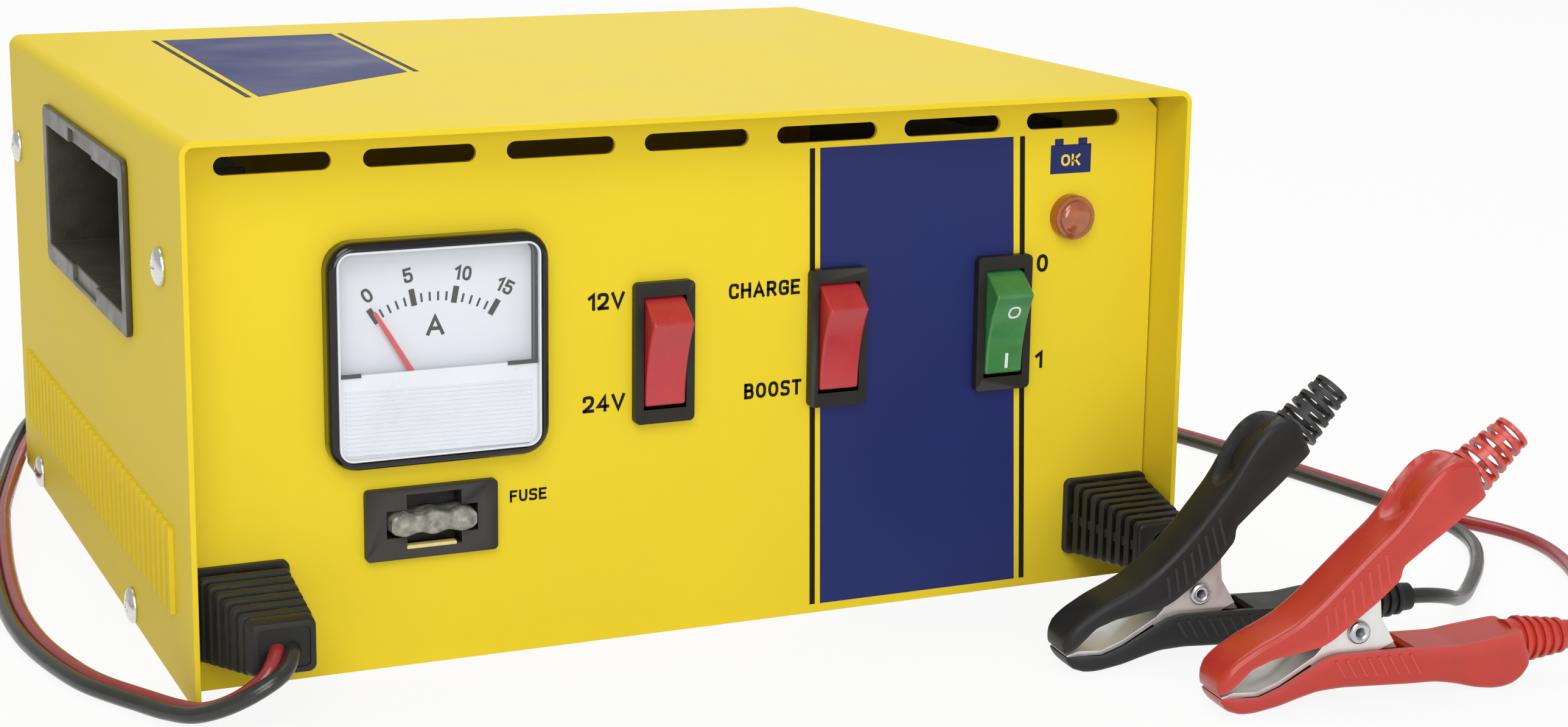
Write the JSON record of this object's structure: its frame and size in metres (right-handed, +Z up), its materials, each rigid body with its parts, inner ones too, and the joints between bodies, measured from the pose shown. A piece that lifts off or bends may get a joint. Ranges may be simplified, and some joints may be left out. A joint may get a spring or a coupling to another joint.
{
  "type": "battery charger",
  "caption": "Workshop battery charger: a low steel box with a recessed front panel, needle meter, blade fuse, rocker switches and a twin lead with two spring clamps.",
  "frame": {"origin": "middle of the footprint of the box and its cable glands, on the surface the box stands on", "axes": "+Z up, -Y out of the front panel, +X towards the mains switch and the mains cable gland"},
  "size_m": [0.358, 0.3882, 0.1161],
  "materials": {
    "yellow_paint": "satin powder coat",
    "zinc_screw": "bright zinc",
    "zinc_plate": "dull zinc",
    "black_moulding": "fine grained",
    "black_gloss": "gloss",
    "dark_moulding": "fine grained",
    "white_moulding": "smooth",
    "dial_card": "printed card",
    "grey_casting": "as cast",
    "needle_red": "painted",
    "clear_window": "clear moulding",
    "fuse_plastic": "translucent",
    "red_moulding": "smooth",
    "green_moulding": "smooth, see-through",
    "amber_lens": "smooth, see-through",
    "black_rubber": "matte",
    "core_steel": "varnished laminations",
    "copper_wire": "enamelled",
    "bare_aluminium": "milled",
    "board_green": "solder mask",
    "sleeve_blue": "shrunk sleeve",
    "lead_sheath": "one red and one black side",
    "red_sheath": "smooth",
    "black_sheath": "smooth",
    "black_grip": "satin",
    "red_grip": "satin",
    "spring_steel": "bright"
  },
  "bodies": {
    "case": {"cover": "yellow_paint", "chassis": "yellow_paint", "cover_screws": "zinc_screw", "handle_cup_left": "black_moulding", "handle_cup_right": "black_moulding", "meter_case": "black_gloss", "meter_dial": "dial_card", "meter_movement": "grey_casting", "meter_shield": "dial_card", "meter_window": "clear_window", "fuse_holder": "dark_moulding", "voltage_bezel": "dark_moulding", "boost_bezel": "dark_moulding", "mains_bezel": "dark_moulding", "lamp_body": "white_moulding", "lamp_lens": "amber_lens", "low_voltage_gland": "black_rubber", "mains_gland": "black_rubber", "transformer_core": "core_steel", "bobbin": "white_moulding", "primary_winding": "copper_wire", "secondary_winding": "copper_wire", "transformer_bracket": "zinc_plate", "heatsink": "bare_aluminium", "rectifier": "black_gloss", "circuit_board": "board_green", "board_standoffs": "zinc_plate", "relay": "black_gloss", "capacitor": "sleeve_blue", "terminal_block": "white_moulding", "chassis_bolts": "zinc_screw", "twin_lead_front": "lead_sheath", "twin_lead_coil": "lead_sheath", "twin_lead_back": "lead_sheath", "coil_tie": "black_moulding", "split_sleeve": "black_rubber", "red_tail": "red_sheath", "black_tail": "black_sheath", "black_lower_grip": "black_grip", "black_lower_jaw": "zinc_plate", "black_rivet": "zinc_screw", "black_spring": "spring_steel", "red_lower_grip": "red_grip", "red_lower_jaw": "zinc_plate", "red_rivet": "zinc_screw", "red_spring": "spring_steel"},
    "voltage_switch": {"voltage_rocker": "red_moulding"},
    "boost_switch": {"boost_rocker": "red_moulding"},
    "mains_switch": {"mains_rocker": "green_moulding"},
    "needle": {"meter_needle": "needle_red"},
    "fuse": {"fuse_body": "fuse_plastic", "fuse_blades": "zinc_plate"},
    "black_clamp_arm": {"black_upper_grip": "black_grip", "black_upper_jaw": "zinc_plate"},
    "red_clamp_arm": {"red_upper_grip": "red_grip", "red_upper_jaw": "zinc_plate"}
  },
  "joints": [
    {"name": "voltage_switch_tilt", "type": "hinge", "parent": "case", "child": "voltage_switch", "pos_m": [-0.009, -0.08, 0.0636], "axis": [-1, 0, 0], "range_deg": [0, 30]},
    {"name": "boost_switch_tilt", "type": "hinge", "parent": "case", "child": "boost_switch", "pos_m": [0.0325, -0.08, 0.0636], "axis": [-1, 0, 0], "range_deg": [0, 30]},
    {"name": "mains_switch_tilt", "type": "hinge", "parent": "case", "child": "mains_switch", "pos_m": [0.074, -0.08, 0.0636], "axis": [-1, 0, 0], "range_deg": [0, 30]},
    {"name": "needle_turn", "type": "hinge", "parent": "case", "child": "needle", "pos_m": [-0.06, -0.0845, 0.055], "axis": [0, 1, 0], "range_deg": [0, 62], "stiffness_Nm_per_rad": 0.0001},
    {"name": "fuse_pull", "type": "slide", "parent": "case", "child": "fuse", "axis": [0, -1, 0], "range_m": [0, 0.03]},
    {"name": "black_clamp_open", "type": "hinge", "parent": "case", "child": "black_clamp_arm", "pos_m": [0.0913, -0.1382, 0.015], "axis": [0.1045, 0.9945, 0], "range_deg": [0, 36], "stiffness_Nm_per_rad": 0.25, "springref_deg": -68.75, "deforming": ["black_spring"]},
    {"name": "red_clamp_open", "type": "hinge", "parent": "case", "child": "red_clamp_arm", "pos_m": [0.1073, -0.1718, 0.015], "axis": [0.1045, 0.9945, 0], "range_deg": [0, 36], "stiffness_Nm_per_rad": 0.25, "springref_deg": -68.75, "deforming": ["red_spring"]}
  ]
}
